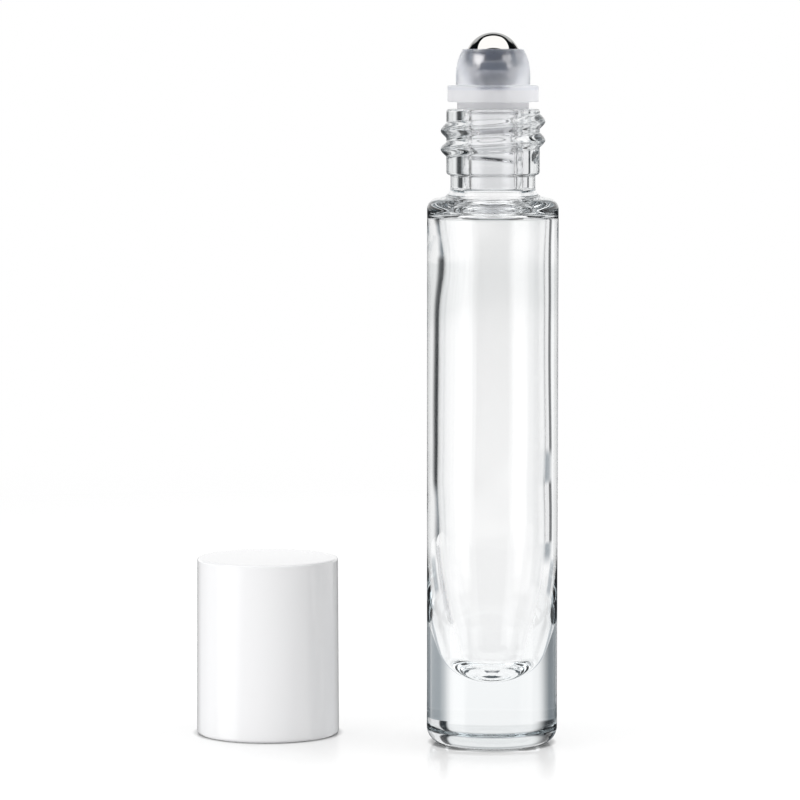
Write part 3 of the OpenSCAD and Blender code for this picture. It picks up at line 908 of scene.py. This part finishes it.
def insert_skin(profile, columns=240):
    """The insert's rings: a thread stands inward from the socket, and ribs outward to the shell.

    A column within half a rib's width of a rib's middle moves out to the press fit's radius, less a
    small share of the way there, so that no two rings fall together.
    """
    angle = around(columns)
    r, z = profile[:, :1], profile[:, 1:]
    in_socket = np.abs(r - socket_r) < near_socket
    threaded = in_socket & (z > insert_z + plain_end) & (z < socket_z - plain_end)
    ridge = thread(angle, z, cap_thread_from, cap_thread_to,
                   thread_start_z - shut_z - thread_pitch / 2, thread_pitch, cap_thread_w)
    past_mouth = np.arange(len(profile))[:, None] > np.argmin(profile[:, 1])
    ribbed = past_mouth & (z > insert_z + ring_t) & (z < shell_under_z) & (r > cup_step_r)
    at_rib = ribbed & (np.radians(from_nearest(angle, rib_count)) * r < rib_w / 2)
    grown = np.where(at_rib, press_r - rib_slant_share * (press_r - r), r)
    return grown - threaded * ridge * thread_h, z, np.radians(angle)


radius, height, turn = insert_skin(insert_profile)
turned_skin("cap_insert_skin", radius, height, turn, insert_axis, "cap", "cap_insert",
            insert_finish)

# %% [markdown]
# The table is part of the studio and not of the object. It is a sheet of white acrylic that glows: half
# of it is an even emission, standing in for light from below, and half is matt white lit from above, so
# that shadows stay pale. Where something stands within a millimetre of it, ambient occlusion dims the
# glow, which paints the thin dark line of shade under each foot. Round the two feet the sheet is
# polished and shows them faintly upside down, but only at a low angle, as any polished sheet does.
# Further out it is matt. Towards its rim it thins out to nothing, so that no horizon shows, and it can't
# be seen from below, so that the bottle's underside can.

# %% The table's sizes
table_r = 420 * mm
thin_from, thin_to = 0.5 * table_r, 0.95 * table_r
table_glow, table_shade, table_roughness = 0.5, "#ffffff", 0.16
table_gloss, gloss_reach, gloss_from_facing, gloss_full_facing = 0.42, 36 * mm, 0.72, 0.88
bottle_foot_r, cap_foot_r = 8.6 * mm, cap_r * mm
shade_reach, shade_dark, shade_light = 1.0 * mm, 0.45, 0.95
print("the polish ends", round(gloss_reach / mm), "mm from each foot")

# %% [markdown]
# The facing of a surface, as Blender gives it, is 0 square on and 1 edge on, so a range near 1 keeps the
# polish to low views. The ambient occlusion node tells how open a point is, within the shade's reach, and
# the glow is dimmed where it is closed in: painted shade at the feet.

# %% White acrylic


def past_foot(tree, place, axis, foot_r):
    """How far a point of the table lies outside a round foot."""
    away = add_node(tree, "ShaderNodeVectorMath", {"operation": "DISTANCE", 1: (axis[0], axis[1], 0)},
                    {0: place})
    return add_node(tree, "ShaderNodeMath", {"operation": "SUBTRACT", 1: foot_r},
                    {0: away.outputs["Value"]}).outputs[0]


def white_table():
    """White acrylic that glows as if lit through, with painted shade round the feet, polished near them
    and fading out towards the rim.
    """
    material = bpy.data.materials.new("lit_white_acrylic_sheet")
    material.use_nodes = True
    tree = material.node_tree
    tree.nodes.clear()
    place = add_node(tree, "ShaderNodeTexCoord").outputs["Object"]
    out = add_node(tree, "ShaderNodeVectorMath", {"operation": "LENGTH"}, {0: place})
    thin = add_node(tree, "ShaderNodeMapRange", {
        "interpolation_type": "SMOOTHSTEP", "From Min": thin_from, "From Max": thin_to,
        "To Min": 1.0, "To Max": 0.0}, {"Value": out.outputs["Value"]})
    nearest = add_node(tree, "ShaderNodeMath", {"operation": "MINIMUM"}, {
        0: past_foot(tree, place, bottle_axis, bottle_foot_r),
        1: past_foot(tree, place, cap_axis, cap_foot_r)})
    near_foot = add_node(tree, "ShaderNodeMapRange", {
        "interpolation_type": "SMOOTHSTEP", "From Min": 0, "From Max": gloss_reach,
        "To Min": 1.0, "To Max": 0.0}, {"Value": nearest.outputs[0]})
    facing = add_node(tree, "ShaderNodeLayerWeight", {"Blend": 0.5}).outputs["Facing"]
    low_view = add_node(tree, "ShaderNodeMapRange", {
        "From Min": gloss_from_facing, "From Max": gloss_full_facing,
        "To Min": 0.0, "To Max": table_gloss}, {"Value": facing})
    polish = add_node(tree, "ShaderNodeMath", {"operation": "MULTIPLY"}, {
        0: near_foot.outputs[0], 1: low_view.outputs[0]})
    openness = add_node(tree, "ShaderNodeAmbientOcclusion", {"Distance": shade_reach, "samples": 16})
    # Painted shade: the glow dies where the occlusion finds something within the shade's reach
    glow_less_painted_contact_shade = add_node(tree, "ShaderNodeMapRange", {
        "From Min": shade_dark, "From Max": shade_light, "To Min": 0.0, "To Max": 1.0},
        {"Value": openness.outputs["AO"]})
    matt = add_node(tree, "ShaderNodeBsdfDiffuse", {"Color": colour(table_shade)})
    glow = add_node(tree, "ShaderNodeEmission", {"Color": colour(table_shade)},
                    {"Strength": glow_less_painted_contact_shade.outputs[0]})
    lit_sheet = add_node(tree, "ShaderNodeMixShader", {0: table_glow}, {
        1: matt.outputs[0], 2: glow.outputs[0]})
    gloss = add_node(tree, "ShaderNodeBsdfAnisotropic", {
        "Color": colour(table_shade), "Roughness": table_roughness})
    sheet = add_node(tree, "ShaderNodeMixShader", links={
        0: polish.outputs[0], 1: lit_sheet.outputs[0], 2: gloss.outputs[0]})
    from_below = add_node(tree, "ShaderNodeNewGeometry").outputs["Backfacing"]
    from_above = add_node(tree, "ShaderNodeMath", {"operation": "SUBTRACT", 0: 1.0}, {1: from_below})
    there = add_node(tree, "ShaderNodeMath", {"operation": "MULTIPLY"}, {
        0: thin.outputs[0], 1: from_above.outputs[0]})
    gone = add_node(tree, "ShaderNodeBsdfTransparent")
    skin = add_node(tree, "ShaderNodeMixShader", links={
        0: there.outputs[0], 1: gone.outputs[0], 2: sheet.outputs[0]})
    add_node(tree, "ShaderNodeOutputMaterial", links={"Surface": skin.outputs[0]})
    return material


table_finish = white_table()
print(table_finish.name, "nodes", len(table_finish.node_tree.nodes))

# %% [markdown]
# The sheet itself is one flat square.

# %% The table
table_mesh = bpy.data.meshes.new("table")
corners = np.array([[-1, -1, 0], [1, -1, 0], [1, 1, 0], [-1, 1, 0]]) * table_r
table_mesh.from_pydata(corners.tolist(), [], [[0, 1, 2, 3]])
table_mesh.materials.append(table_finish)
table = bpy.data.objects.new("table", table_mesh)
bpy.context.scene.collection.objects.link(table)
table.visible_transmission = False
table.visible_glossy = False
print("the table is", round(2 * table_r / mm), "mm wide")
